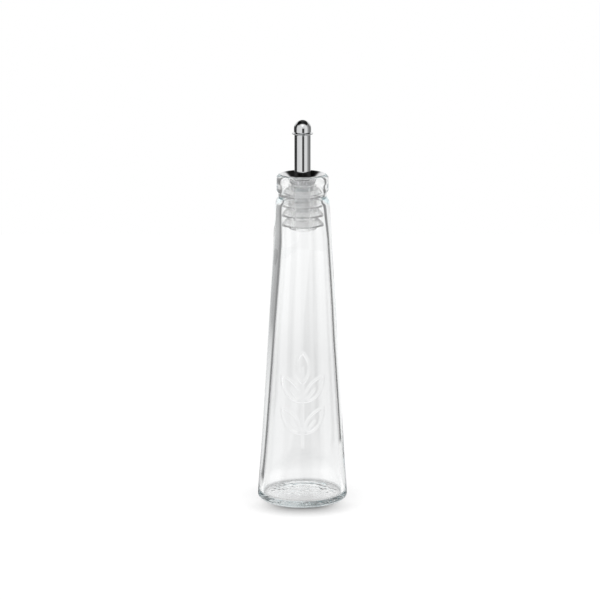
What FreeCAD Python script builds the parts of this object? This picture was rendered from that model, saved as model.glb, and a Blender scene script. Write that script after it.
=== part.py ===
"""Table oil bottle: a tapered glass bottle with a steel pourer on a finned stopper.

Millimetres. +Z is up, the origin is the middle of the foot, and the raised sprig
on the glass faces -Y. Every piece is turned about Z apart from the sprig.
"""

import FreeCAD
import Part

import math
import os

# Glass bottle, outside
BOTTLE_HEIGHT = 221.0  # foot to the top of the lip
FOOT_DIAMETER = 60.4  # where the tapered wall would meet the table
HEEL_ROUND = 2.6
LIP_WALL = 3.4  # glass outside the bore, at the lip bead
LIP_HEIGHT = 10.6
LIP_ROUND = 2.2
LIP_SLOPE = 1.4  # drop of the bead's underside, from its edge to the neck
NECK_WALL = 2.2
NECK_HEIGHT = 3.0
SHOULDER_WALL = 4.0
SHOULDER_SLOPE = 2.8  # drop from the neck to the top of the taper
SHOULDER_ROUND = 3.6

# Glass bottle, inside
BORE_DIAMETER = 27.8
BORE_DEPTH = 21.0  # straight bore, lip to the start of the taper
FOOT_WALL = 3.4
FLOOR_THICKNESS = 4.0
FLOOR_CORNER = 1.2  # bevel between the floor and the wall inside
FLOOR_CROWN = 1.0  # rise of the floor at its middle
PUNT_RISE = 1.4  # hollow under the foot
BEARING_WIDTH = 4.0  # flat ring that the bottle stands on

# Raised sprig on the glass
SPRIG_BOTTOM = 42.0
SPRIG_HEIGHT = 64.0
LEAF_LENGTH = 21.0
LEAF_WIDTH = 8.6
LEAF_PAIRS = 2
LEAF_LEAN = 38.0  # degrees between a side leaf and the stem
LEAF_GAP = 1.5  # side leaf to stem
RIB_WIDTH = 1.1
RIB_HEIGHT = 0.6
RIB_ROOT = 0.5  # depth of the ribs' root in the wall

# Pourer
TUBE_DIAMETER = 11.0
SHEET = 0.6  # steel of the tube and the dish
SPOUT_RISE = 27.8  # lip of the bottle to the mouth of the spout
BRIM_OVERHANG = 1.6
BRIM_THICKNESS = 0.5
BRIM_FLARE = 0.8  # cone between the tube and the brim
MOUTH_LEAD = 0.5  # bevel inside the mouth
TUBE_INSERTION = 19.0  # length of tube in the stopper
DISH_DEPTH = 5.5
DISH_OVERLAP = 0.9  # rim of the dish over the lip
DISH_CLEARANCE = 0.4  # cone of the dish to the bore
DISH_HUB_WIDTH = 1.5
STOPPER_WALL = 3.7  # stopper around the tube
STOPPER_LENGTH = 30.9
STOPPER_LEAD = 0.8  # bevel at the stopper's lower end
FIN_COUNT = 4
FIN_PITCH = 6.5
FIN_FROM_END = 4.3  # top of the lowest fin to the stopper's lower end
FIN_THICKNESS = 1.5
FIN_CLEARANCE = 0.3  # fin to the bore

# Closure in the mouth of the spout
CAP_OVERHANG = 0.3  # cap outside the tube
CAP_SKIRT = 2.9  # straight part of the cap, below its dome
SOCKET_WALL = 1.0  # cap around the head of the plug
SOCKET_DEPTH = 4.0
PLUG_LENGTH = 9.0
PLUG_CLEARANCE = 0.1  # sealing bead to the tube
BEAD_DEPTH = 0.25  # sealing bead above the shank
BEAD_COUNT = 2
BEAD_HEIGHT = 1.2

# Sizes that follow from those above
foot_radius = FOOT_DIAMETER / 2
bore_radius = BORE_DIAMETER / 2
lip_radius = bore_radius + LIP_WALL
neck_radius = bore_radius + NECK_WALL
shoulder_radius = bore_radius + SHOULDER_WALL
lip_underside = BOTTLE_HEIGHT - LIP_HEIGHT
neck_top = lip_underside - LIP_SLOPE
neck_bottom = neck_top - NECK_HEIGHT
shoulder_height = neck_bottom - SHOULDER_SLOPE

tube_radius = TUBE_DIAMETER / 2
tube_bore = tube_radius - SHEET
brim_radius = tube_radius + BRIM_OVERHANG
mouth_height = BOTTLE_HEIGHT + SPOUT_RISE
stopper_top = BOTTLE_HEIGHT - DISH_DEPTH
stopper_bottom = stopper_top - STOPPER_LENGTH
tube_bottom = stopper_top - TUBE_INSERTION
core_radius = tube_radius + STOPPER_WALL
fin_radius = bore_radius - FIN_CLEARANCE
cap_radius = tube_radius + CAP_OVERHANG
socket_radius = cap_radius - SOCKET_WALL
socket_top = mouth_height + SOCKET_DEPTH
cap_top = mouth_height + CAP_SKIRT + cap_radius


def outline(corners):
    """Closed wire in the XZ plane through (x, z, round) corners, each rounded by a tangent arc."""
    points = [FreeCAD.Vector(x, 0, z) for x, z, _ in corners]
    count = len(points)
    halves = []
    reaches = []
    for i, corner in enumerate(points):
        half = (points[i - 1] - corner).getAngle(points[(i + 1) % count] - corner) / 2
        halves.append(half)
        reaches.append(corners[i][2] / math.tan(half))
    shares = []
    for i in range(count):
        wanted = reaches[i] + reaches[(i + 1) % count]
        length = points[i].distanceToPoint(points[(i + 1) % count])
        shares.append(min(1, length / wanted) if wanted else 1)
    edges = []
    starts = []
    ends = []
    for i, corner in enumerate(points):
        back = (points[i - 1] - corner).normalize()
        ahead = (points[(i + 1) % count] - corner).normalize()
        reach = reaches[i] * min(shares[i - 1], shares[i])
        starts.append(corner + back * reach)
        ends.append(corner + ahead * reach)
        if reach:
            radius = reach * math.tan(halves[i])
            middle = corner + (back + ahead).normalize() * (radius / math.sin(halves[i]) - radius)
            edges.append(Part.Arc(starts[i], middle, ends[i]).toShape())
    for i in range(count):
        following = starts[(i + 1) % count]
        if ends[i].distanceToPoint(following) > 1e-6:
            edges.append(Part.LineSegment(ends[i], following).toShape())
    return Part.Wire(Part.sortEdges(edges)[0])


def turned(corners):
    """Solid turned about Z from a half section of (radius, height, round) corners."""
    section = Part.Face(outline(corners))
    return section.revolve(FreeCAD.Vector(0, 0, 0), FreeCAD.Vector(0, 0, 1), 360)


def wall_radius(height):
    """Outer radius of the tapered wall at a height."""
    return foot_radius + (shoulder_radius - foot_radius) * height / shoulder_height


def bottle_blank():
    """The bottle before its sprig: foot, tapered wall, neck, lip bead, bore and floor in one section."""
    bearing_inside = foot_radius - HEEL_ROUND - BEARING_WIDTH
    floor_radius = foot_radius - FOOT_WALL
    taper_height = BOTTLE_HEIGHT - BORE_DEPTH - FLOOR_THICKNESS
    corner_radius = floor_radius - (floor_radius - bore_radius) * FLOOR_CORNER / taper_height
    punt = bearing_inside / 2
    crown = floor_radius / 2
    return turned(
        [
            (0, PUNT_RISE, 0),
            (punt, PUNT_RISE, punt * 2),
            (bearing_inside, 0, 0),
            (foot_radius, 0, HEEL_ROUND),
            (shoulder_radius, shoulder_height, SHOULDER_ROUND),
            (neck_radius, neck_bottom, 0),
            (neck_radius, neck_top, 0),
            (lip_radius, lip_underside, 0),
            (lip_radius, BOTTLE_HEIGHT, LIP_ROUND),
            (bore_radius, BOTTLE_HEIGHT, 0),
            (bore_radius, BOTTLE_HEIGHT - BORE_DEPTH, 0),
            (corner_radius, FLOOR_THICKNESS + FLOOR_CORNER, 0),
            (floor_radius - FLOOR_CORNER, FLOOR_THICKNESS, 0),
            (crown, FLOOR_THICKNESS + FLOOR_CROWN, crown),
            (0, FLOOR_THICKNESS + FLOOR_CROWN, 0),
        ]
    )


def lens(half_length, half_width):
    """Pointed oval face between two equal arcs, upright in the XZ plane, with its lower tip at the origin."""
    low = FreeCAD.Vector(0, 0, 0)
    high = FreeCAD.Vector(0, 0, 2 * half_length)
    left = FreeCAD.Vector(-half_width, 0, half_length)
    right = FreeCAD.Vector(half_width, 0, half_length)
    sides = [Part.Arc(low, left, high).toShape(), Part.Arc(high, right, low).toShape()]
    return Part.Face(Part.Wire(sides))


def upright_rib(length):
    """Straight rib face, upright in the XZ plane, with its lower end at the origin."""
    half = RIB_WIDTH / 2
    return Part.Face(outline([(-half, 0, 0), (half, 0, 0), (half, length, 0), (-half, length, 0)]))


def leaf():
    """Outline of one leaf, a rib wide, with a midrib."""
    half_length = LEAF_LENGTH / 2
    half_width = LEAF_WIDTH / 2
    arc_radius = (half_length**2 + half_width**2) / (2 * half_width)
    inner_width = half_width - RIB_WIDTH
    inner_length = math.sqrt((arc_radius - RIB_WIDTH) ** 2 - (arc_radius - half_width) ** 2)
    inside = lens(inner_length, inner_width)
    inside.translate(FreeCAD.Vector(0, 0, half_length - inner_length))
    return lens(half_length, half_width).cut(inside.cut(upright_rib(half_length)))


def sprig():
    """Faces of the sprig in the XZ plane: a stem, a leaf at its tip and pairs of leaves along it."""
    stem_length = SPRIG_HEIGHT - LEAF_LENGTH
    faces = [upright_rib(stem_length)]
    tip = leaf()
    tip.translate(FreeCAD.Vector(0, 0, stem_length - RIB_WIDTH))
    faces.append(tip)
    for pair in range(LEAF_PAIRS):
        height = stem_length * (pair + 0.5) / LEAF_PAIRS - LEAF_GAP
        for side in (-1, 1):
            one = leaf()
            one.rotate(FreeCAD.Vector(0, 0, 0), FreeCAD.Vector(0, 1, 0), side * LEAF_LEAN)
            one.translate(FreeCAD.Vector(side * LEAF_GAP, 0, height))
            faces.append(one)
    return faces


def relief_band():
    """Shell that holds the ribs: from inside the wall to the top of the ribs, over the sprig's height."""
    low = SPRIG_BOTTOM - LEAF_WIDTH
    high = SPRIG_BOTTOM + SPRIG_HEIGHT + LEAF_WIDTH
    return turned(
        [
            (wall_radius(low) - RIB_ROOT, low, 0),
            (wall_radius(low) + RIB_HEIGHT, low, 0),
            (wall_radius(high) + RIB_HEIGHT, high, 0),
            (wall_radius(high) - RIB_ROOT, high, 0),
        ]
    )


def glass_bottle():
    """The bottle with the sprig's ribs standing on its front."""
    reach = FreeCAD.Vector(0, -foot_radius, 0)
    band = relief_band()
    ribs = []
    for face in sprig():
        face.translate(FreeCAD.Vector(0, 0, SPRIG_BOTTOM))
        ribs.append(face.extrude(reach).common(band))
    return bottle_blank().fuse(ribs).removeSplitter()


def stopper():
    """Moulded stopper: a sleeve with flexible fins, and a step inside that the tube stands on."""
    corners = [
        (tube_radius, stopper_top, 0),
        (tube_radius, tube_bottom, 0),
        (tube_bore, tube_bottom, 0),
        (tube_bore, stopper_bottom, 0),
        (core_radius - STOPPER_LEAD, stopper_bottom, 0),
        (core_radius, stopper_bottom + STOPPER_LEAD, 0),
    ]
    for i in range(FIN_COUNT):
        height = stopper_bottom + FIN_FROM_END + i * FIN_PITCH
        corners += [
            (core_radius, height - FIN_THICKNESS, 0),
            (fin_radius, height - FIN_THICKNESS, 0),
            (fin_radius, height, 0),
            (core_radius, height, 0),
        ]
    corners.append((core_radius, stopper_top, 0))
    return turned(corners)


def drip_dish():
    """Pressed steel dish round the spout: a flat hub on the stopper, a cone, and a rim on the bottle's lip."""
    hub_radius = tube_radius + DISH_HUB_WIDTH
    cone_radius = bore_radius - DISH_CLEARANCE
    rim_radius = bore_radius + DISH_OVERLAP
    slope = math.atan2(DISH_DEPTH, cone_radius - hub_radius)
    upper_shift = SHEET * math.tan(slope / 2)
    return turned(
        [
            (tube_radius, stopper_top, 0),
            (hub_radius, stopper_top, 0),
            (cone_radius, BOTTLE_HEIGHT, 0),
            (rim_radius, BOTTLE_HEIGHT, 0),
            (rim_radius, BOTTLE_HEIGHT + SHEET, 0),
            (cone_radius - upper_shift, BOTTLE_HEIGHT + SHEET, 0),
            (hub_radius - upper_shift, stopper_top + SHEET, 0),
            (tube_radius, stopper_top + SHEET, 0),
        ]
    )


def spout_tube():
    """Steel tube with its mouth spun out to a thin pouring brim."""
    brim_underside = mouth_height - BRIM_THICKNESS
    return turned(
        [
            (tube_bore, tube_bottom, 0),
            (tube_radius, tube_bottom, 0),
            (tube_radius, brim_underside - BRIM_FLARE, 0),
            (tube_radius + BRIM_FLARE, brim_underside, 0),
            (brim_radius, brim_underside, 0),
            (brim_radius, mouth_height, 0),
            (tube_bore + MOUTH_LEAD, mouth_height, 0),
            (tube_bore, mouth_height - MOUTH_LEAD, 0),
        ]
    )


def closure_cap():
    """Bullet-shaped steel cap, turned solid, with a socket for the plug; it stands on the brim."""
    return turned(
        [
            (0, cap_top, 0),
            (cap_radius, cap_top, cap_radius),
            (cap_radius, mouth_height, 0),
            (socket_radius, mouth_height, 0),
            (socket_radius, socket_top, 0),
            (0, socket_top, 0),
        ]
    )


def closure_plug():
    """Plastic plug: a head pressed into the cap's socket, and a shank with sealing beads in the tube."""
    bead_radius = tube_bore - PLUG_CLEARANCE
    shank_radius = bead_radius - BEAD_DEPTH
    corners = [
        (0, socket_top, 0),
        (socket_radius, socket_top, 0),
        (socket_radius, mouth_height, 0),
        (shank_radius, mouth_height, 0),
    ]
    spacing = PLUG_LENGTH / (BEAD_COUNT + 1)
    for i in range(BEAD_COUNT):
        height = mouth_height - spacing * (i + 1)
        corners += [
            (shank_radius, height + BEAD_HEIGHT / 2, 0),
            (bead_radius, height + BEAD_HEIGHT / 4, 0),
            (bead_radius, height - BEAD_HEIGHT / 4, 0),
            (shank_radius, height - BEAD_HEIGHT / 2, 0),
        ]
    corners += [(shank_radius, mouth_height - PLUG_LENGTH, 0), (0, mouth_height - PLUG_LENGTH, 0)]
    return turned(corners)


def main():
    os.makedirs("parts", exist_ok=True)
    for make in (glass_bottle, stopper, drip_dish, spout_tube, closure_cap, closure_plug):
        shape = make()
        shape.exportStep(f"parts/{make.__name__}.step")
        box = shape.BoundBox
        print(
            f"{make.__name__}: {len(shape.Solids)} solid, valid {shape.isValid()}, "
            f"{shape.Volume / 1000:.2f} cm3, z {box.ZMin:.2f} to {box.ZMax:.2f}, "
            f"x {box.XMin:.2f} to {box.XMax:.2f}, y {box.YMin:.2f} to {box.YMax:.2f}"
        )


main()
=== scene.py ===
"""Looks of the table oil bottle: glass, stopper, steel pourer, closure and studio stage."""

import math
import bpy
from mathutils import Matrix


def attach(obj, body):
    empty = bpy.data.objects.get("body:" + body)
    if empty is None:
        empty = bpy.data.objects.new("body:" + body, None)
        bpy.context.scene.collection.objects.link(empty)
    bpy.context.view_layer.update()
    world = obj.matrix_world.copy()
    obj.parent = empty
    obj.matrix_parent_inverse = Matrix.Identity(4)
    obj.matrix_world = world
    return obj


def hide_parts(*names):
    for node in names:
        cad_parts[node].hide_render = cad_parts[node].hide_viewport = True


bl_info = {
    "name": "Table Oil Bottle",
    "version": (1, 0, 0),
    "blender": (4, 5, 0),
    "location": "View3D > Sidebar > Oil Bottle",
    "description": "Builds a glass oil bottle with a steel pourer on its packed frame",
    "category": "Add Mesh",
}

import bmesh
import bpy
from bpy.props import FloatProperty, FloatVectorProperty, IntProperty, PointerProperty
from mathutils import Matrix, Vector, noise

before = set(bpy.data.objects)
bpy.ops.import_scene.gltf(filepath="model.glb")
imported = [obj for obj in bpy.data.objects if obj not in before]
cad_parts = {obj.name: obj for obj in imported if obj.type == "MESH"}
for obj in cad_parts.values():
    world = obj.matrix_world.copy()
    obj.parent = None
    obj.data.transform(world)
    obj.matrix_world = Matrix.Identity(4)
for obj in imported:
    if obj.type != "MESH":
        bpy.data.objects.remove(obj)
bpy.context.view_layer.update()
MM = 0.001
# Touching pieces stand this far apart, so that light in the clear ones meets one surface at a time
CONTACT_GAP = 0.02 * MM

# Meshes: points closer than the first are one, edges shorter than the second go, and edges that turn
# more than so many degrees stay crisp
MERGE_DISTANCE = 0.002 * MM
SHORTEST_EDGE = 0.001 * MM
CREASE_DEGREES = 40
# Steps of a full turn; the bottle has finer ones over the degrees of its front that carry the sprig
TURN_STEPS = 96
DISH_STEPS = 128
PLUG_STEPS = 64
BACK_STEPS = 120
FRONT_STEPS = 96
FRONT_DEGREES = 76
# Longest edges of the bottle's section, on the sprig, on the floor and elsewhere
SPRIG_SPACING = 0.42 * MM
FLOOR_SPACING = 1.2 * MM
PLAIN_SPACING = 4 * MM
# A point this close to the tapered wall is on it, and one this far in is on the inside
ON_WALL = 0.05 * MM
INSIDE_WALL = 1.5 * MM
# A rib is flat to the first share of its width from its line, and has run out at the second
RIB_CREST = 0.15
RIB_FOOT = 0.85
# Ripples of the floor: their size, how deep the finer ones are beside them, and how far from the wall
# they start to fade and have gone
RIPPLE_SIZE = 2.6 * MM
FINE_RIPPLE = 0.6
RIPPLE_FADE = 4 * MM
RIPPLE_END = 2 * MM
# Sway of the blown wall: its size, how far above the floor it starts and is full, and the share of the
# height to the bore at which it starts to fade
SWAY_SIZE = 42 * MM
SWAY_START = 4 * MM
SWAY_FULL = 40 * MM
SWAY_FADE = 0.86
# Share of the drift that the wall has already at the floor
FLOOR_DRIFT = 0.3
# Surfaces: waves of the glass, turning lines of the steel and grain of the two moulded skins
GLASS_WAVE = 38 * MM
LINE_LENGTH = 16 * MM
LINE_WIDTH = 0.4 * MM
SILICONE_GRAIN = 1.2 * MM
PLASTIC_GRAIN = 0.8 * MM


def linear(hex_colour):
    """Linear RGBA from an sRGB hex colour."""
    channels = [int(hex_colour[i : i + 2], 16) / 255 for i in (1, 3, 5)]
    return tuple(c / 12.92 if c <= 0.04045 else ((c + 0.055) / 1.055) ** 2.4 for c in channels) + (1.0,)


def size(name, description, millimetres):
    """A length that the sidebar shows, given in millimetres."""
    return FloatProperty(
        name=name, description=description, default=millimetres * MM, unit="LENGTH", precision=4
    )


def colour(name, description, hex_colour):
    """A colour that the sidebar shows."""
    return FloatVectorProperty(
        name=name, description=description, default=linear(hex_colour), size=4, subtype="COLOR", min=0, max=1
    )


class BottleSizes(bpy.types.PropertyGroup):
    """Sizes of the glass."""

    height: size("Height", "Foot to the top of the lip", 221.0)
    foot_diameter: size("Foot diameter", "Where the tapered wall would meet the table", 60.4)
    heel_round: size("Heel round", "Round between the wall and the foot", 2.6)
    bearing_width: size("Bearing width", "Flat ring that the bottle stands on", 4.0)
    punt_rise: size("Punt rise", "Hollow under the foot", 1.4)
    bore_diameter: size("Bore", "Inside of the neck", 27.8)
    bore_depth: size("Bore depth", "Straight bore below the lip", 21.0)
    lip_wall: size("Lip wall", "Glass outside the bore at the lip bead", 3.4)
    lip_height: size("Lip height", "Height of the lip bead", 10.6)
    lip_round: size("Lip round", "Round on the top edge of the bead", 2.2)
    lip_slope: size("Lip slope", "Drop of the bead's underside", 1.4)
    bead_round: size("Bead round", "Round on the lower edge of the bead", 2.4)
    bead_hollow: size("Bead hollow", "How far the inside follows the bead outwards", 0.8)
    hollow_round: size("Hollow round", "Rounds of the hollow behind the bead", 6.0)
    lip_land: size("Lip land", "Straight bore at the lip that the dish fits", 1.0)
    land_round: size("Land round", "Round under the lip land", 2.0)
    edge_round: size("Edge round", "Round on the edges of the bore and of the bearing ring", 0.5)
    bore_end_round: size("Bore end round", "Round between the bore and the tapered inside", 40.0)
    neck_wall: size("Neck wall", "Glass outside the bore at the neck groove", 2.2)
    neck_height: size("Neck height", "Height of the neck groove", 3.0)
    shoulder_wall: size("Shoulder wall", "Glass outside the bore at the top of the taper", 4.0)
    shoulder_slope: size("Shoulder slope", "Drop from the neck groove to the top of the taper", 2.8)
    shoulder_round: size("Shoulder round", "Round at the top of the taper", 3.6)
    foot_wall: size("Foot wall", "Glass at the bottom of the taper", 3.4)
    floor_thickness: size("Floor", "Glass under the inside", 4.0)
    floor_crown: size("Floor crown", "Rise of the floor at its middle", 1.0)
    floor_round: size("Floor round", "Round between the floor and the wall inside", 1.4)
    wall_drift: size("Wall drift", "How far the inside has drifted sideways, at the shoulder", 1.15)
    wall_sway: size("Wall sway", "How far the inside of the blown wall wanders", 0.35)
    floor_ripple: size("Floor ripple", "Depth of the chill ripples on the floor", 0.2)
    sprig_bottom: size("Sprig bottom", "Foot to the lower end of the sprig", 42.0)
    sprig_height: size("Sprig height", "Stem and tip leaf together", 64.0)
    leaf_length: size("Leaf length", "Tip to tip", 21.0)
    leaf_width: size("Leaf width", "Across the middle", 8.6)
    leaf_pairs: IntProperty(name="Leaf pairs", description="Side leaves along the stem", default=2, min=0)
    leaf_lean: FloatProperty(
        name="Leaf lean", description="Side leaf to stem", default=math.radians(38), subtype="ANGLE"
    )
    leaf_gap: size("Leaf gap", "Side leaf to stem", 1.5)
    rib_width: size("Rib width", "Raised line", 1.1)
    rib_height: size("Rib height", "Raised line above the wall", 0.6)
    sprig_margin: size("Sprig margin", "Finely meshed wall above and below the sprig", 4.0)


class PourerSizes(bpy.types.PropertyGroup):
    """Sizes of the stopper, the spout, the dish and the closure."""

    tube_diameter: size("Tube", "Outside of the spout", 11.0)
    sheet: size("Sheet", "Thickness of the steel", 0.6)
    spout_rise: size("Spout rise", "Lip of the bottle to the mouth of the spout", 27.8)
    brim_overhang: size("Brim overhang", "Brim outside the tube", 1.6)
    brim_thickness: size("Brim thickness", "Edge of the brim", 0.5)
    brim_flare: size("Brim flare", "Round between the tube and the brim", 1.0)
    brim_edge_round: size("Brim edge round", "Round on the brim's edges", 0.1)
    tube_insertion: size("Tube insertion", "Length of tube in the stopper", 19.0)
    dish_depth: size("Dish depth", "Rim to hub", 5.5)
    dish_overlap: size("Dish overlap", "Rim over the lip", 0.9)
    dish_clearance: size("Dish clearance", "Cone to the bore", 0.4)
    dish_hub: size("Dish hub", "Flat ring round the tube", 1.5)
    dish_bend: size("Dish bend", "Round of the upper side where the sheet bends", 1.2)
    dish_back_bend: size("Dish back bend", "Round of the underside where the sheet bends", 0.6)
    dish_edge_round: size("Dish edge round", "Round on the edge of the rim", 0.25)
    stopper_wall: size("Stopper wall", "Stopper around the tube", 3.7)
    stopper_length: size("Stopper length", "Top to lower end", 30.9)
    stopper_top_round: size("Stopper top round", "Round on the upper edge", 0.5)
    stopper_end_round: size("Stopper end round", "Round on the lower edge, outside", 1.0)
    stopper_bore_round: size("Stopper bore round", "Round on the lower edge, inside", 0.3)
    fin_pitch: size("Fin pitch", "Fin to fin", 6.5)
    fin_from_end: size("First fin", "Top of the lowest fin's rim to the stopper's lower end", 4.3)
    fin_thickness: size("Fin thickness", "Height of a fin's rim", 1.5)
    fin_rise: size("Fin rise", "Root of a fin above its rim", 4.6)
    fin_clearance: size("Fin clearance", "Fin to the bore", 0.06)
    fin_root_round: size("Fin root round", "Round between a fin and the sleeve", 0.4)
    fin_rim_round: size("Fin rim round", "Round on the lower edge of a rim", 0.25)
    fin_top_round: size("Fin top round", "Round on the upper edge of a rim", 1.2)
    fin_count: IntProperty(name="Fins", description="Number of fins", default=4, min=1)
    cap_overhang: size("Cap overhang", "Cap outside the tube", 0.3)
    cap_skirt: size("Cap skirt", "Straight part of the cap", 2.9)
    cap_foot_round: size("Cap foot round", "Round on the cap's lower edge", 1.4)
    socket_wall: size("Socket wall", "Cap around the head of the plug", 1.0)
    socket_depth: size("Socket depth", "Head of the plug in the cap", 4.0)
    plug_length: size("Plug length", "Plug in the tube", 9.0)
    plug_clearance: size("Plug clearance", "Sealing bead to the tube", 0.1)
    bead_depth: size("Bead depth", "Sealing bead above the shank", 0.25)
    bead_height: size("Bead height", "Height of a sealing bead", 1.2)
    bead_round: size("Bead round", "Round on a sealing bead", 0.3)
    bead_root_round: size("Bead root round", "Round between a bead and the shank", 0.2)
    bead_count: IntProperty(name="Beads", description="Number of sealing beads", default=2, min=0)
    plug_end_round: size("Plug end round", "Round on the plug's lower edge", 0.5)


class FinishColours(bpy.types.PropertyGroup):
    """Colours of the finishes."""

    glass_depth: colour("Glass depth", "What thick glass takes on", "#CCDCDF")
    steel: colour("Steel", "Polished stainless steel", "#DADBDC")
    silicone: colour("Silicone", "Translucent stopper", "#FEFEFE")
    plastic: colour("Plastic", "Natural polyethylene plug", "#E6E7E3")
    floor: colour("Floor", "Paper under the bottle", "#8C8C8C")


def add_node(tree, kind, values=None, links=None, stops=(), **settings):
    """Add a node with its settings, its socket values, its links and the grey stops of its ramp.

    A link comes from a socket or from a node's first output, and a stop is a place and a level.
    """
    node = tree.nodes.new(kind)
    for name, value in settings.items():
        setattr(node, name, value)
    for socket, value in (values or {}).items():
        node.inputs[socket].default_value = value
    for socket, source in (links or {}).items():
        tree.links.new(getattr(source, "outputs", [source])[0], node.inputs[socket])
    for place, _ in stops[1:-1]:
        node.color_ramp.elements.new(place)
    for i, (place, level) in enumerate(stops):
        node.color_ramp.elements[i].position = place
        node.color_ramp.elements[i].color = (level, level, level, 1)
    return node


def new_material(name):
    """An empty node material and its tree."""
    material = bpy.data.materials.new(name)
    material.use_nodes = True
    material.node_tree.nodes.clear()
    return material, material.node_tree


def clear_glass(colours):
    """Fire-polished soda glass: clean edges of light and dark, a cool grey tint where it is thick."""
    material, tree = new_material("clear_soda_glass")
    place = add_node(tree, "ShaderNodeTexCoord")
    sway = add_node(
        tree,
        "ShaderNodeTexNoise",
        values={"Scale": 1 / GLASS_WAVE, "Detail": 1.0, "Roughness": 0.4},
        links={"Vector": place.outputs["Object"]},
    )
    bump = add_node(
        tree,
        "ShaderNodeBump",
        values={"Strength": 0.05, "Distance": 1.0 * MM},
        links={"Height": sway.outputs["Fac"]},
    )
    surface = add_node(
        tree,
        "ShaderNodeBsdfPrincipled",
        values={
            "Base Color": (1, 1, 1, 1),
            "Roughness": 0.0,
            "IOR": 1.52,
            "Transmission Weight": 1.0,
        },
        links={"Normal": bump.outputs["Normal"]},
    )
    depth = add_node(
        tree, "ShaderNodeVolumeAbsorption", values={"Color": colours.glass_depth, "Density": 8.0}
    )
    add_node(
        tree,
        "ShaderNodeOutputMaterial",
        links={"Surface": surface.outputs["BSDF"], "Volume": depth.outputs["Volume"]},
    )
    return material


def polished_steel(colours):
    """Mirror-polished stainless steel: sharp reflections, with faint turning lines round the axis."""
    material, tree = new_material("polished_stainless_steel")
    place = add_node(tree, "ShaderNodeTexCoord")
    squeezed = add_node(
        tree,
        "ShaderNodeMapping",
        values={"Scale": (1, 1, LINE_LENGTH / LINE_WIDTH)},
        links={"Vector": place.outputs["Object"]},
    )
    polish = add_node(
        tree,
        "ShaderNodeTexNoise",
        values={"Scale": 1 / LINE_LENGTH, "Detail": 3.0, "Roughness": 0.6},
        links={"Vector": squeezed.outputs["Vector"]},
    )
    roughness = add_node(
        tree,
        "ShaderNodeMapRange",
        values={"From Min": 0.3, "From Max": 0.7, "To Min": 0.045, "To Max": 0.10},
        links={"Value": polish.outputs["Fac"]},
    )
    surface = add_node(
        tree,
        "ShaderNodeBsdfPrincipled",
        values={"Base Color": colours.steel, "Metallic": 1.0},
        links={"Roughness": roughness.outputs["Result"]},
    )
    add_node(tree, "ShaderNodeOutputMaterial", links={"Surface": surface.outputs["BSDF"]})
    return material


def translucent_silicone(colours):
    """Moulded silicone: a satin skin over a milky body that lets light through."""
    material, tree = new_material("translucent_silicone")
    place = add_node(tree, "ShaderNodeTexCoord")
    skin = add_node(
        tree,
        "ShaderNodeTexNoise",
        values={"Scale": 1 / SILICONE_GRAIN, "Detail": 2.0, "Roughness": 0.5},
        links={"Vector": place.outputs["Object"]},
    )
    bump = add_node(
        tree,
        "ShaderNodeBump",
        values={"Strength": 0.12, "Distance": 0.1 * MM},
        links={"Height": skin.outputs["Fac"]},
    )
    surface = add_node(
        tree,
        "ShaderNodeBsdfPrincipled",
        values={
            "Base Color": colours.silicone,
            "Roughness": 0.18,
            "IOR": 1.41,
            "Transmission Weight": 0.87,
        },
        links={"Normal": bump.outputs["Normal"]},
    )
    add_node(tree, "ShaderNodeOutputMaterial", links={"Surface": surface.outputs["BSDF"]})
    return material


def natural_plastic(colours):
    """Natural polyethylene: a milky satin white with a moulded skin."""
    material, tree = new_material("natural_polyethylene")
    place = add_node(tree, "ShaderNodeTexCoord")
    skin = add_node(
        tree,
        "ShaderNodeTexNoise",
        values={"Scale": 1 / PLASTIC_GRAIN, "Detail": 2.0, "Roughness": 0.5},
        links={"Vector": place.outputs["Object"]},
    )
    bump = add_node(
        tree,
        "ShaderNodeBump",
        values={"Strength": 0.15, "Distance": 0.05 * MM},
        links={"Height": skin.outputs["Fac"]},
    )
    surface = add_node(
        tree,
        "ShaderNodeBsdfPrincipled",
        values={
            "Base Color": colours.plastic,
            "Roughness": 0.42,
            "IOR": 1.51,
            "Subsurface Weight": 0.2,
            "Subsurface Radius": (1.0 * MM, 1.0 * MM, 1.0 * MM),
        },
        links={"Normal": bump.outputs["Normal"]},
    )
    add_node(tree, "ShaderNodeOutputMaterial", links={"Surface": surface.outputs["BSDF"]})
    return material


def section(bm, corners, segments=6):
    """Wire half section through (radius, height, round) corners, each rounded by a vertex bevel."""
    chain = [bm.verts.new((x, 0, z)) for x, z, _ in corners]
    for start, end in zip(chain, chain[1:]):
        bm.edges.new((start, end))
    places = [vert.co.copy() for vert in chain]
    last = len(chain) - 1
    for i, vert in enumerate(chain):
        if i in (0, last) or not corners[i][2]:
            continue
        half = (places[i - 1] - places[i]).angle(places[i + 1] - places[i]) / 2
        reach = corners[i][2] / math.tan(half)
        bmesh.ops.bevel(
            bm,
            geom=[vert],
            offset=reach,
            offset_type="OFFSET",
            segments=segments,
            profile=0.5,
            affect="VERTICES",
            material=-1,
            clamp_overlap=True,
        )


def close_section(bm):
    """Join the two free ends of a wire section."""
    ends = [vert for vert in bm.verts if len(vert.link_edges) == 1]
    bm.edges.new(ends)


def turn(bm, steps):
    """Spin a wire section into a closed skin about Z."""
    bmesh.ops.spin(
        bm,
        geom=bm.verts[:] + bm.edges[:],
        cent=(0, 0, 0),
        axis=(0, 0, 1),
        angle=math.tau,
        steps=steps,
        use_merge=True,
    )
    weld(bm)


def weld(bm):
    """Merge the pole and the seam, and turn every face outwards."""
    bmesh.ops.remove_doubles(bm, verts=bm.verts[:], dist=MERGE_DISTANCE)
    bmesh.ops.dissolve_degenerate(bm, edges=bm.edges[:], dist=SHORTEST_EDGE)
    bmesh.ops.recalc_face_normals(bm, faces=bm.faces[:])


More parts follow.
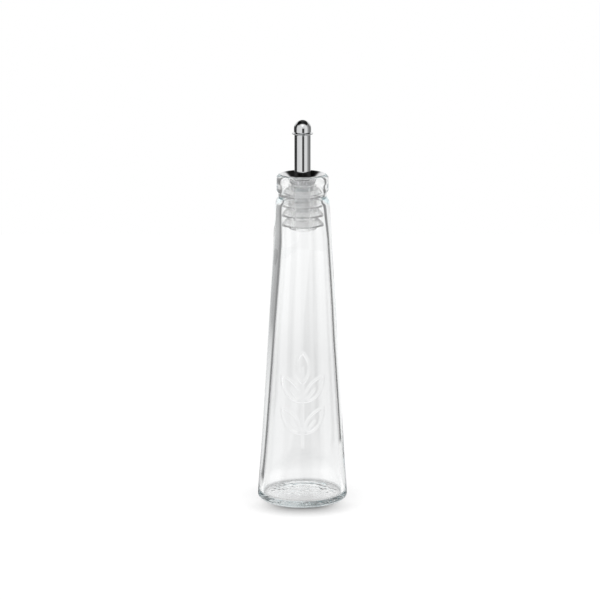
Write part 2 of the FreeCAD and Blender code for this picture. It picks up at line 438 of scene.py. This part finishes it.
def piece(bm, name, material, body, node):
    """Make a finished piece that rides on a body and stands for its CAD node."""
    for face in bm.faces:
        face.smooth = True
    for edge in bm.edges:
        edge.smooth = not edge.is_manifold or edge.calc_face_angle(0) < math.radians(CREASE_DEGREES)
    mesh = bpy.data.meshes.new(name)
    bm.to_mesh(mesh)
    bm.free()
    mesh.materials.append(material)
    obj = bpy.data.objects.new(name, mesh)
    bpy.context.collection.objects.link(obj)
    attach(obj, body)
    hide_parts(node)


def smooth_step(low, high, value):
    """0 below low, 1 above high, eased between them."""
    share = min(max((value - low) / (high - low), 0), 1)
    return share * share * (3 - 2 * share)


def leaf_distance(x, z, length, width):
    """Distance from the outline or the midrib of an upright leaf whose lower tip is at the origin."""
    half_length = length / 2
    half_width = width / 2
    arc_radius = (half_length**2 + half_width**2) / (2 * half_width)
    offset = arc_radius - half_width
    if 0 <= z <= length:
        outline = abs(math.hypot(abs(x) + offset, z - half_length) - arc_radius)
    else:
        outline = math.hypot(x, min(abs(z), abs(z - length)))
    midrib = math.hypot(x, z - min(max(z, 0), half_length))
    return min(outline, midrib)


def sprig_distance(x, z, sizes):
    """Distance from the nearest line of the sprig, on the unrolled front of the bottle."""
    stem = sizes.sprig_height - sizes.leaf_length
    nearest = math.hypot(x, z - min(max(z, 0), stem))
    nearest = min(nearest, leaf_distance(x, z - stem, sizes.leaf_length, sizes.leaf_width))
    lean = sizes.leaf_lean
    for pair in range(sizes.leaf_pairs):
        height = stem * (pair + 0.5) / sizes.leaf_pairs - sizes.leaf_gap
        side_x = abs(x) - sizes.leaf_gap
        side_z = z - height
        along = side_x * math.sin(lean) + side_z * math.cos(lean)
        across = side_x * math.cos(lean) - side_z * math.sin(lean)
        nearest = min(nearest, leaf_distance(across, along, sizes.leaf_length, sizes.leaf_width))
    return nearest


def ripple_floor(bm, sizes, top):
    """Draw the chill ripples on the inside of the floor, below a height."""
    floor = sizes.foot_diameter / 2 - sizes.foot_wall
    for vert in bm.verts:
        radius = math.hypot(vert.co.x, vert.co.y)
        if radius < floor - RIPPLE_END and sizes.floor_thickness - MM < vert.co.z < top:
            ripple = noise.noise(vert.co / RIPPLE_SIZE)
            ripple += FINE_RIPPLE * noise.noise(vert.co / (RIPPLE_SIZE / 2) + Vector((5, 3, 1)))
            fade = 1 - smooth_step(floor - RIPPLE_FADE, floor - RIPPLE_END, radius)
            vert.co.z += sizes.floor_ripple * ripple * fade


def raise_sprig(bm, sizes, wall, low, high):
    """Raise the sprig's ribs on the front of the tapered wall, between two heights."""
    for vert in bm.verts:
        radius = math.hypot(vert.co.x, vert.co.y)
        height = vert.co.z
        if low <= height <= high and abs(radius - wall(height)) < ON_WALL and vert.co.y < 0:
            around = math.atan2(vert.co.x, -vert.co.y) * radius
            distance = sprig_distance(around, height - sizes.sprig_bottom, sizes)
            rise = 1 - smooth_step(sizes.rib_width * RIB_CREST, sizes.rib_width * RIB_FOOT, distance)
            vert.co += Vector((vert.co.x, vert.co.y, 0)).normalized() * sizes.rib_height * rise


def wander_inside(bm, sizes, wall):
    """Let the inside of the blown wall sway, and drift sideways towards the shoulder."""
    floor_top = sizes.floor_thickness + sizes.floor_crown
    bore_end = sizes.height - sizes.bore_depth
    for vert in bm.verts:
        radius = math.hypot(vert.co.x, vert.co.y)
        height = vert.co.z
        if radius < wall(height) - INSIDE_WALL and sizes.floor_thickness < height < bore_end:
            rise = height / bore_end
            share = smooth_step(floor_top + SWAY_START, floor_top + SWAY_FULL, height)
            share *= 1 - smooth_step(SWAY_FADE, 1.0, rise)
            sway = noise.noise(vert.co / SWAY_SIZE + Vector((2, 7, 4)))
            outward = Vector((vert.co.x, vert.co.y, 0)).normalized()
            vert.co += outward * sizes.wall_sway * sway * share
            vert.co.x += sizes.wall_drift * (FLOOR_DRIFT + (1 - FLOOR_DRIFT) * rise) * share


class OILBOTTLE_OT_bottle(bpy.types.Operator):
    """Spin the glass bottle, raise its sprig and ripple its floor"""

    bl_idname = "oil_bottle.bottle"
    bl_label = "Glass bottle"

    def execute(self, context):
        sizes = context.scene.oil_bottle_sizes
        foot = sizes.foot_diameter / 2
        bore = sizes.bore_diameter / 2
        lip = bore + sizes.lip_wall
        neck = bore + sizes.neck_wall
        shoulder = bore + sizes.shoulder_wall
        lip_underside = sizes.height - sizes.lip_height
        neck_top = lip_underside - sizes.lip_slope
        neck_bottom = neck_top - sizes.neck_height
        shoulder_height = neck_bottom - sizes.shoulder_slope
        bearing = foot - sizes.heel_round - sizes.bearing_width
        floor = foot - sizes.foot_wall
        crown = sizes.floor_thickness + sizes.floor_crown

        def wall(height):
            """Outer radius of the tapered wall at a height."""
            return foot + (shoulder - foot) * height / shoulder_height

        low = sizes.sprig_bottom - sizes.sprig_margin
        high = sizes.sprig_bottom + sizes.sprig_height + sizes.sprig_margin
        bm = bmesh.new()
        section(
            bm,
            [
                (0, sizes.punt_rise, 0),
                (bearing / 2, sizes.punt_rise, bearing),
                (bearing, 0, sizes.edge_round),
                (foot, 0, sizes.heel_round),
                (wall(low), low, 0),
                (wall(high), high, 0),
                (shoulder, shoulder_height, sizes.shoulder_round),
                (neck, neck_bottom, sizes.neck_height / 2),
                (neck, neck_top, sizes.neck_height / 2),
                (lip, lip_underside, sizes.bead_round),
                (lip, sizes.height, sizes.lip_round),
                (bore, sizes.height, sizes.edge_round),
                (bore, sizes.height - sizes.lip_land, sizes.land_round),
                (bore + sizes.bead_hollow, sizes.height - sizes.lip_height / 2, sizes.hollow_round),
                (bore, neck_top, sizes.hollow_round),
                (bore, sizes.height - sizes.bore_depth, sizes.bore_end_round),
                (floor, sizes.floor_thickness, sizes.floor_round),
                (floor / 2, crown, floor / 2),
                (0, crown, 0),
            ],
            segments=8,
        )
        for edge in bm.edges[:]:
            middle = (edge.verts[0].co + edge.verts[1].co) / 2
            if low < middle.z < high and abs(middle.x - wall(middle.z)) < ON_WALL:
                spacing = SPRIG_SPACING
            elif middle.z < crown + MM and middle.x < floor:
                spacing = FLOOR_SPACING
            else:
                spacing = PLAIN_SPACING
            cuts = int(edge.calc_length() / spacing)
            if cuts:
                bmesh.ops.subdivide_edges(bm, edges=[edge], cuts=cuts)
        front = math.radians(FRONT_DEGREES)
        turned = Matrix.Rotation(-math.pi / 2 - front / 2, 3, "Z")
        bmesh.ops.rotate(bm, verts=bm.verts[:], cent=(0, 0, 0), matrix=turned)
        geom = bm.verts[:] + bm.edges[:]
        for angle, steps in ((front, FRONT_STEPS), (math.tau - front, BACK_STEPS)):
            arc = bmesh.ops.spin(bm, geom=geom, cent=(0, 0, 0), axis=(0, 0, 1), angle=angle, steps=steps)
            geom = arc["geom_last"]
        weld(bm)
        ripple_floor(bm, sizes, low - MM)
        raise_sprig(bm, sizes, wall, low, high)
        wander_inside(bm, sizes, wall)
        bmesh.ops.recalc_face_normals(bm, faces=bm.faces[:])
        glass = clear_glass(context.scene.oil_bottle_colours)
        piece(bm, "glass_bottle_skin", glass, "bottle", "glass_bottle")
        return {"FINISHED"}


class OILBOTTLE_OT_stopper(bpy.types.Operator):
    """Spin the finned stopper"""

    bl_idname = "oil_bottle.stopper"
    bl_label = "Stopper"

    def execute(self, context):
        sizes = context.scene.oil_pourer_sizes
        bottle = context.scene.oil_bottle_sizes
        tube = sizes.tube_diameter / 2
        inside = tube - sizes.sheet
        core = tube + sizes.stopper_wall
        fin = bottle.bore_diameter / 2 - sizes.fin_clearance
        top = bottle.height - sizes.dish_depth
        bottom = top - sizes.stopper_length
        step = top - sizes.tube_insertion
        bore = tube + CONTACT_GAP
        top -= CONTACT_GAP
        corners = [
            (bore, top, 0),
            (bore, step, 0),
            (inside, step, 0),
            (inside, bottom, sizes.stopper_bore_round),
            (core, bottom, sizes.stopper_end_round),
        ]
        for i in range(sizes.fin_count):
            height = bottom + sizes.fin_from_end + i * sizes.fin_pitch
            corners += [
                (core, height + sizes.fin_rise - sizes.fin_thickness, sizes.fin_root_round),
                (fin, height - sizes.fin_thickness, sizes.fin_rim_round),
                (fin, height, sizes.fin_top_round),
                (core, height + sizes.fin_rise, sizes.fin_root_round),
            ]
        corners.append((core, top, sizes.stopper_top_round))
        bm = bmesh.new()
        section(bm, corners, segments=4)
        close_section(bm)
        turn(bm, TURN_STEPS)
        silicone = translucent_silicone(context.scene.oil_bottle_colours)
        piece(bm, "stopper_moulding", silicone, "pourer", "stopper")
        return {"FINISHED"}


class OILBOTTLE_OT_pourer(bpy.types.Operator):
    """Spin the drip dish and the spout"""

    bl_idname = "oil_bottle.pourer"
    bl_label = "Dish and spout"

    def execute(self, context):
        sizes = context.scene.oil_pourer_sizes
        bottle = context.scene.oil_bottle_sizes
        steel = polished_steel(context.scene.oil_bottle_colours)
        tube = sizes.tube_diameter / 2
        bore = bottle.bore_diameter / 2
        lip = bottle.height
        hub_height = lip - sizes.dish_depth
        hub = tube + sizes.dish_hub
        cone = bore - sizes.dish_clearance
        rim = bore + sizes.dish_overlap
        shift = sizes.sheet * math.tan(math.atan2(sizes.dish_depth, cone - hub) / 2)
        bm = bmesh.new()
        section(
            bm,
            [
                (tube, hub_height + sizes.sheet, 0),
                (hub - shift, hub_height + sizes.sheet, sizes.dish_bend),
                (cone - shift, lip + sizes.sheet, sizes.dish_bend),
                (rim, lip + sizes.sheet, sizes.dish_edge_round),
                (rim, lip + CONTACT_GAP, sizes.dish_edge_round),
                (cone, lip + CONTACT_GAP, sizes.dish_back_bend),
                (hub, hub_height, sizes.dish_back_bend),
                (tube, hub_height, 0),
            ],
            segments=8,
        )
        close_section(bm)
        turn(bm, DISH_STEPS)
        piece(bm, "drip_dish_pressing", steel, "pourer", "drip_dish")

        inside = tube - sizes.sheet
        mouth = lip + sizes.spout_rise
        brim = tube + sizes.brim_overhang
        underside = mouth - sizes.brim_thickness
        bottom = hub_height - sizes.tube_insertion
        bm = bmesh.new()
        section(
            bm,
            [
                (inside, bottom, 0),
                (tube, bottom, 0),
                (tube, underside, sizes.brim_flare),
                (brim, underside, sizes.brim_edge_round),
                (brim, mouth, sizes.brim_edge_round),
                (inside, mouth, sizes.sheet),
            ],
            segments=8,
        )
        close_section(bm)
        turn(bm, TURN_STEPS)
        piece(bm, "spout_tube_spun", steel, "pourer", "spout_tube")
        return {"FINISHED"}


class OILBOTTLE_OT_closure(bpy.types.Operator):
    """Spin the cap and its plug"""

    bl_idname = "oil_bottle.closure"
    bl_label = "Cap and plug"

    def execute(self, context):
        sizes = context.scene.oil_pourer_sizes
        bottle = context.scene.oil_bottle_sizes
        colours = context.scene.oil_bottle_colours
        steel = bpy.data.materials.get("polished_stainless_steel") or polished_steel(colours)
        tube = sizes.tube_diameter / 2
        cap = tube + sizes.cap_overhang
        socket = cap - sizes.socket_wall
        mouth = bottle.height + sizes.spout_rise
        top = mouth + sizes.cap_skirt + cap
        head = mouth + sizes.socket_depth
        bm = bmesh.new()
        section(
            bm,
            [
                (0, top, 0),
                (cap, top, cap),
                (cap, mouth, sizes.cap_foot_round),
                (socket, mouth, 0),
                (socket, head, 0),
                (0, head, 0),
            ],
            segments=24,
        )
        turn(bm, TURN_STEPS)
        piece(bm, "closure_cap_turned", steel, "closure", "closure_cap")

        bead = tube - sizes.sheet - sizes.plug_clearance
        shank = bead - sizes.bead_depth
        bottom = mouth - sizes.plug_length
        corners = [
            (0, head - CONTACT_GAP, 0),
            (socket - CONTACT_GAP, head - CONTACT_GAP, 0),
            (socket - CONTACT_GAP, mouth + CONTACT_GAP, 0),
            (shank, mouth + CONTACT_GAP, 0),
        ]
        for i in range(sizes.bead_count):
            height = mouth - sizes.plug_length * (i + 1) / (sizes.bead_count + 1)
            corners += [
                (shank, height + sizes.bead_height / 2, sizes.bead_root_round),
                (bead, height + sizes.bead_height / 4, sizes.bead_round),
                (bead, height - sizes.bead_height / 4, sizes.bead_round),
                (shank, height - sizes.bead_height / 2, sizes.bead_root_round),
            ]
        corners += [(shank, bottom, sizes.plug_end_round), (0, bottom, 0)]
        bm = bmesh.new()
        section(bm, corners, segments=6)
        turn(bm, PLUG_STEPS)
        plastic = natural_plastic(colours)
        piece(bm, "closure_plug_moulding", plastic, "closure", "closure_plug")
        return {"FINISHED"}


# Studio round the bottle, as degrees from the camera's side and level.
# Metal mirrors two soft boxes, the gap for the lens between them and dark flags at the sides.
METAL_SEES = (
    (-180, 1.0), (-152, 1.0), (-147, 0.06), (-86, 0.03), (-79, 0.88), (-9, 1.0), (-3, 0.06), (20, 0.06),
    (28, 0.95), (60, 0.95), (74, 0.5), (90, 0.3), (112, 0.2), (138, 0.3), (148, 1.0), (180, 1.0),
)
# The inside of a glass wall mirrors only the flags' edges, as a dark line along each side, from the front
# and from behind. High on the bottle it looks past the paper, and on the left into the grey of the room.
GLASS_SEES = (
    (-180, 1.0), (-138, 1.0), (-132, 0.20), (-120, 0.18), (-112, 1.2), (-64, 1.2), (-58, 0.20), (-46, 0.20),
    (-40, 1.1), (40, 1.1), (46, 0.20), (58, 0.20), (64, 1.2), (115, 1.2), (120, 0.08), (137, 0.10),
    (143, 1.0), (180, 1.0),
)
GLASS_SEES_FAR = (
    (-180, 0.92), (-172, 0.44), (-150, 0.34), (-122, 0.30), (-112, 1.2), (-66, 1.2), (-58, 0.25), (-42, 0.25),
    (-34, 1.1), (34, 1.1), (42, 0.25), (58, 0.25), (66, 1.2), (117, 1.2), (124, 0.20), (140, 0.22),
    (149, 1.0), (180, 1.0),
)
# Level by how many faces of glass and silicone the light has crossed: mirrored inside them, and straight
DEEP_GLASS = ((4, 1.0), (6, 1.0), (8, 1.8))
THROUGH_GLASS = ((0, 1.0), (1, 0.95), (4, 0.95), (7, 1.4), (8, 1.4))
# Clear glass shows the paper by millimetres from the bottle's axis: bright through the floor,
# in shade under the heel, bright just behind the bottle and greyer further off
PAPER_SEEN = (
    (10, 0.80), (20, 0.80), (25, 0.50), (29, 0.45), (34, 0.80), (45, 0.95), (62, 0.95),
    (90, 0.81), (400, 0.75), (500, 0.80), (620, 0.86), (850, 0.90),
)
# Direction of the lamp that glints on the dome of the cap
LAMP = (0, -0.67, 0.74)
# Middle of the white paper that the glass mirrors near the foot, a little to the right
WHITE_PAPER = (55 * MM, 0, 0)
# How much of the paper's white is its own glow
PAPER_GLOW = 0.8
# Half the paper's width, and how far it lies under the foot
PAPER_REACH = 850 * MM
PAPER_DROP = 0.05 * MM
# Camera that was fitted to the outline in the photo: millimetres of film, a place and degrees downwards
FILM_WIDTH = 36
FOCAL_LENGTH = 167.7
CAMERA_PLACE = (-1.67 * MM, -1812 * MM, 564 * MM)
CAMERA_TILT = 13.29
# Silicone and steel inside clear glass show black spots with fewer bounces
BOUNCES = {"max": 64, "diffuse": 24, "glossy": 48, "transmission": 48}


def azimuth(tree, axes):
    """Angle round the bottle from the camera's side."""
    toward = add_node(tree, "ShaderNodeMath", {1: -1.0}, {0: axes.outputs["Y"]}, operation="MULTIPLY")
    return add_node(tree, "ShaderNodeMath", links={0: axes.outputs["X"], 1: toward}, operation="ARCTAN2")


def around(tree, angle, levels):
    """Level at an angle round the bottle."""
    share = add_node(
        tree, "ShaderNodeMapRange", {"From Min": -math.pi, "From Max": math.pi}, {"Value": angle}
    )
    stops = [((degrees + 180) / 360, level) for degrees, level in levels]
    return add_node(tree, "ShaderNodeValToRGB", links={"Fac": share}, stops=stops)


def outwards(tree, reach, levels):
    """Level at a distance from the bottle's axis, finest near the bottle."""
    first, last = levels[0][0], levels[-1][0]
    times = add_node(tree, "ShaderNodeMath", {1: first * MM}, {0: reach}, operation="DIVIDE")
    share = add_node(tree, "ShaderNodeMath", {1: last / first}, {0: times}, operation="LOGARITHM")
    stops = [(math.log(place / first, last / first), level) for place, level in levels]
    return add_node(tree, "ShaderNodeValToRGB", links={"Fac": share}, stops=stops)


def by_faces(tree, ray, levels):
    """Level by how many faces of clear material the light has crossed."""
    most = levels[-1][0]
    crossed = ray.outputs["Transmission Depth"]
    share = add_node(tree, "ShaderNodeMath", {1: most}, {0: crossed}, operation="DIVIDE")
    stops = [(faces / most, level) for faces, level in levels]
    return add_node(tree, "ShaderNodeValToRGB", links={"Fac": share}, stops=stops)


def studio_in_steel(tree, place, axes, angle):
    """What the steel mirrors of the studio: boxes and flags, white over the lens and behind, and a lamp."""
    front = add_node(
        tree,
        "ShaderNodeMapRange",
        {"From Min": -0.42, "From Max": -0.25, "To Min": 1.0, "To Max": 0.0},
        {"Value": axes.outputs["Y"]},
        interpolation_type="SMOOTHSTEP",
    )
    behind = add_node(
        tree,
        "ShaderNodeMapRange",
        {"From Min": 0.45, "From Max": 0.6},
        {"Value": axes.outputs["Y"]},
        interpolation_type="SMOOTHSTEP",
    )
    above_lens = add_node(
        tree,
        "ShaderNodeMapRange",
        {"From Min": 0.05, "From Max": 0.25, "To Max": 0.9},
        {"Value": axes.outputs["Z"]},
        interpolation_type="SMOOTHSTEP",
    )
    open_sides = add_node(tree, "ShaderNodeMath", links={0: front, 1: behind}, operation="MAXIMUM")
    over_lens = add_node(tree, "ShaderNodeMath", links={0: open_sides, 1: above_lens}, operation="MULTIPLY")
    toward_lamp = add_node(tree, "ShaderNodeVectorMath", {1: LAMP}, {0: place}, operation="DOT_PRODUCT")
    lamp = add_node(
        tree,
        "ShaderNodeMapRange",
        {"From Min": 0.955, "From Max": 0.99, "To Max": 0.7},
        {"Value": toward_lamp.outputs["Value"]},
        interpolation_type="SMOOTHSTEP",
    )
    sides = around(tree, angle, METAL_SEES)
    boxes = add_node(tree, "ShaderNodeMath", links={0: sides, 1: over_lens}, operation="MAXIMUM")
    lit_boxes = add_node(tree, "ShaderNodeMath", links={0: boxes, 1: lamp}, operation="ADD")

    # The back of the studio is dark overhead, and lower in the middle than at the sides
    sideways = add_node(tree, "ShaderNodeMath", links={0: axes.outputs["X"]}, operation="ABSOLUTE")
    rise = add_node(
        tree, "ShaderNodeMath", {1: -0.35}, {0: sideways, 2: axes.outputs["Z"]}, operation="MULTIPLY_ADD"
    )
    back_top = add_node(
        tree,
        "ShaderNodeMapRange",
        {"From Min": 0.26, "From Max": 0.46, "To Min": 1.0, "To Max": 0.05},
        {"Value": rise},
        interpolation_type="SMOOTHSTEP",
    )
    ceiling = add_node(tree, "ShaderNodeMix", {"B": 1.0}, {"Factor": front, "A": back_top}, data_type="FLOAT")
    return add_node(tree, "ShaderNodeMath", links={0: lit_boxes, 1: ceiling}, operation="MULTIPLY")


def studio_in_glass(tree, ray, axes, angle):
    """What glass mirrors of the studio: flags in the near wall, dimmer upwards, and even light deeper in."""
    dim_top = add_node(
        tree,
        "ShaderNodeMapRange",
        {"From Min": -0.05, "From Max": 0.2, "To Min": 1.0, "To Max": 0.75},
        {"Value": axes.outputs["Z"]},
    )
    flags = around(tree, angle, GLASS_SEES_FAR)
    wall = add_node(tree, "ShaderNodeMath", links={0: flags, 1: dim_top}, operation="MULTIPLY")
    deeper = add_node(
        tree,
        "ShaderNodeMapRange",
        {"From Min": 2.0, "From Max": 4.0},
        {"Value": ray.outputs["Transmission Depth"]},
    )
    deep = by_faces(tree, ray, DEEP_GLASS)
    return add_node(tree, "ShaderNodeMix", links={"Factor": deeper, "A": wall, "B": deep}, data_type="FLOAT")


def studio_world(scene):
    """White studio: white to the camera and through clear glass, with boxes and flags in what mirrors it."""
    world = bpy.data.worlds.new("white_studio")
    scene.world = world
    world.use_nodes = True
    tree = world.node_tree
    tree.nodes.clear()
    ray = add_node(tree, "ShaderNodeLightPath")
    place = add_node(tree, "ShaderNodeTexCoord").outputs["Generated"]
    axes = add_node(tree, "ShaderNodeSeparateXYZ", links={"Vector": place})
    angle = azimuth(tree, axes)
    metal = studio_in_steel(tree, place, axes, angle)
    glass = studio_in_glass(tree, ray, axes, angle)
    mirrored = add_node(
        tree,
        "ShaderNodeMix",
        links={"Factor": ray.outputs["Transmission Depth"], "A": metal, "B": glass},
        data_type="FLOAT",
    )
    level = add_node(
        tree,
        "ShaderNodeMix",
        links={"Factor": ray.outputs["Glossy Depth"], "A": by_faces(tree, ray, THROUGH_GLASS), "B": mirrored},
        data_type="FLOAT",
    )
    light = add_node(tree, "ShaderNodeBackground", {"Color": (1, 1, 1, 1)}, {"Strength": level})
    add_node(tree, "ShaderNodeOutputWorld", links={"Surface": light})


def paper_in_mirrors(tree, ray, place, angle, reach):
    """Paper as the steel and the glass mirror it: flags further off, white near the foot, shade under it."""
    far = add_node(
        tree,
        "ShaderNodeMapRange",
        {"From Min": 330 * MM, "From Max": 700 * MM, "To Max": 0.8},
        {"Value": reach},
        interpolation_type="SMOOTHSTEP",
    )
    flags = add_node(
        tree,
        "ShaderNodeMix",
        links={"Factor": far, "A": around(tree, angle, GLASS_SEES), "B": around(tree, angle, GLASS_SEES_FAR)},
        data_type="FLOAT",
    )
    beside = add_node(tree, "ShaderNodeVectorMath", {1: WHITE_PAPER}, {0: place}, operation="DISTANCE")
    near = add_node(
        tree,
        "ShaderNodeMapRange",
        {"From Min": 105 * MM, "From Max": 150 * MM, "To Min": 1.0, "To Max": 0.0},
        {"Value": beside.outputs["Value"]},
        interpolation_type="SMOOTHSTEP",
    )
    open_paper = add_node(tree, "ShaderNodeMath", links={0: flags, 1: near}, operation="MAXIMUM")
    under = add_node(
        tree,
        "ShaderNodeMapRange",
        {"From Min": 30 * MM, "From Max": 37 * MM, "To Min": 0.65, "To Max": 1.0},
        {"Value": reach},
    )
    glass = add_node(tree, "ShaderNodeMath", links={0: open_paper, 1: under}, operation="MULTIPLY")
    return add_node(
        tree,
        "ShaderNodeMix",
        links={"Factor": ray.outputs["Transmission Depth"], "A": around(tree, angle, METAL_SEES), "B": glass},
        data_type="FLOAT",
    )


def contact_shade(tree, angle):
    """Soft shadow where the foot meets the paper, mostly in front and open at the sides."""
    touch = add_node(tree, "ShaderNodeAmbientOcclusion", {"Distance": 22 * MM}, samples=8)
    crease = add_node(
        tree,
        "ShaderNodeMapRange",
        {"From Min": 0.55, "From Max": 1.0, "To Min": 0.30, "To Max": 1.0},
        {"Value": touch.outputs["AO"]},
    )
    aside = add_node(tree, "ShaderNodeMath", links={0: angle}, operation="ABSOLUTE")
    open_side = add_node(
        tree,
        "ShaderNodeMapRange",
        {"From Min": math.radians(15), "From Max": math.radians(75), "To Min": 0.0, "To Max": 0.9},
        {"Value": aside},
        interpolation_type="SMOOTHSTEP",
    )
    return add_node(tree, "ShaderNodeMix", {"B": 1.0}, {"Factor": open_side, "A": crease}, data_type="FLOAT")


def paper_through_glass(tree, axes, reach):
    """Paper as clear glass shows it, greyest behind the middle of the bottle."""
    off_middle = add_node(tree, "ShaderNodeMath", links={0: axes.outputs["X"]}, operation="ABSOLUTE")
    grey = add_node(
        tree,
        "ShaderNodeMapRange",
        {"From Min": 12 * MM, "From Max": 18 * MM, "To Min": -0.24, "To Max": -0.16},
        {"Value": off_middle},
        interpolation_type="SMOOTHSTEP",
    )
    seen = outwards(tree, reach, PAPER_SEEN)
    return add_node(tree, "ShaderNodeMath", links={0: seen, 1: grey}, operation="ADD")


def studio_paper(colours):
    """White paper that stays white to the camera, the metal and the glass, and keeps the shadow."""
    material, tree = new_material("white_studio_paper")
    ray = add_node(tree, "ShaderNodeLightPath")
    place = add_node(tree, "ShaderNodeTexCoord").outputs["Object"]
    axes = add_node(tree, "ShaderNodeSeparateXYZ", links={"Vector": place})
    angle = azimuth(tree, axes)
    reach = add_node(tree, "ShaderNodeVectorMath", links={0: place}, operation="LENGTH").outputs["Value"]
    shade = contact_shade(tree, angle)
    tone = add_node(tree, "ShaderNodeVectorMath", {0: colours.floor[:3]}, {"Scale": shade}, operation="SCALE")
    paper = add_node(tree, "ShaderNodeBsdfDiffuse", links={"Color": tone})
    seen = add_node(tree, "ShaderNodeMath", {1: PAPER_GLOW}, {0: shade}, operation="MULTIPLY")
    through = paper_through_glass(tree, axes, reach)
    white = add_node(
        tree,
        "ShaderNodeMix",
        links={"Factor": ray.outputs["Transmission Depth"], "A": seen, "B": through},
        data_type="FLOAT",
    )
    glow = add_node(tree, "ShaderNodeEmission", links={"Strength": white})
    lit = add_node(tree, "ShaderNodeAddShader", links={0: paper, 1: glow})
    reflection = paper_in_mirrors(tree, ray, place, angle, reach)
    mirrored = add_node(tree, "ShaderNodeEmission", links={"Strength": reflection})
    surface = add_node(
        tree, "ShaderNodeMixShader", links={0: ray.outputs["Glossy Depth"], 1: lit, 2: mirrored}
    )
    add_node(tree, "ShaderNodeOutputMaterial", links={"Surface": surface})
    return material


class OILBOTTLE_OT_stage(bpy.types.Operator):
    """Set up the camera, the light and the paper that the bottle stands on"""

    bl_idname = "oil_bottle.stage"
    bl_label = "Studio stage"

    def execute(self, context):
        scene = context.scene
        data = bpy.data.cameras.new("camera")
        data.sensor_width = FILM_WIDTH
        data.lens = FOCAL_LENGTH
        data.clip_start = 0.05
        data.clip_end = 50
        camera = bpy.data.objects.new("camera", data)
        camera.location = CAMERA_PLACE
        camera.rotation_euler = (math.radians(90 - CAMERA_TILT), 0, 0)
        scene.collection.objects.link(camera)
        scene.camera = camera
        scene.view_settings.view_transform = "Standard"
        studio_world(scene)
        for kind, count in BOUNCES.items():
            setattr(scene.cycles, kind + "_bounces", count)

        bm = bmesh.new()
        bmesh.ops.create_grid(bm, x_segments=8, y_segments=8, size=PAPER_REACH)
        mesh = bpy.data.meshes.new("studio_paper")
        bm.to_mesh(mesh)
        bm.free()
        mesh.materials.append(studio_paper(scene.oil_bottle_colours))
        mesh.transform(Matrix.Translation((0, 0, -PAPER_DROP)))
        floor = bpy.data.objects.new("studio_paper", mesh)
        scene.collection.objects.link(floor)
        return {"FINISHED"}


class OILBOTTLE_PT_sidebar(bpy.types.Panel):
    """Lists the pieces of the oil bottle"""

    bl_idname = "OILBOTTLE_PT_sidebar"
    bl_label = "Oil Bottle"
    bl_space_type = "VIEW_3D"
    bl_region_type = "UI"
    bl_category = "Oil Bottle"

    def draw(self, context):
        for operator in OPERATORS:
            self.layout.operator(operator.bl_idname)
        for group in ("oil_bottle_sizes", "oil_pourer_sizes", "oil_bottle_colours"):
            settings = getattr(context.scene, group)
            box = self.layout.box()
            for name in settings.__annotations__:
                box.prop(settings, name)


OPERATORS = (
    OILBOTTLE_OT_stage,
    OILBOTTLE_OT_bottle,
    OILBOTTLE_OT_stopper,
    OILBOTTLE_OT_pourer,
    OILBOTTLE_OT_closure,
)
CLASSES = (BottleSizes, PourerSizes, FinishColours) + OPERATORS + (OILBOTTLE_PT_sidebar,)


def register():
    for cls in CLASSES:
        bpy.utils.register_class(cls)
    bpy.types.Scene.oil_bottle_sizes = PointerProperty(type=BottleSizes)
    bpy.types.Scene.oil_pourer_sizes = PointerProperty(type=PourerSizes)
    bpy.types.Scene.oil_bottle_colours = PointerProperty(type=FinishColours)


def unregister():
    del bpy.types.Scene.oil_bottle_colours
    del bpy.types.Scene.oil_pourer_sizes
    del bpy.types.Scene.oil_bottle_sizes
    for cls in reversed(CLASSES):
        bpy.utils.unregister_class(cls)


def main():
    register()
    bpy.ops.oil_bottle.stage()
    bpy.ops.oil_bottle.bottle()
    bpy.ops.oil_bottle.stopper()
    bpy.ops.oil_bottle.pourer()
    bpy.ops.oil_bottle.closure()


if __name__ == "__main__":
    main()
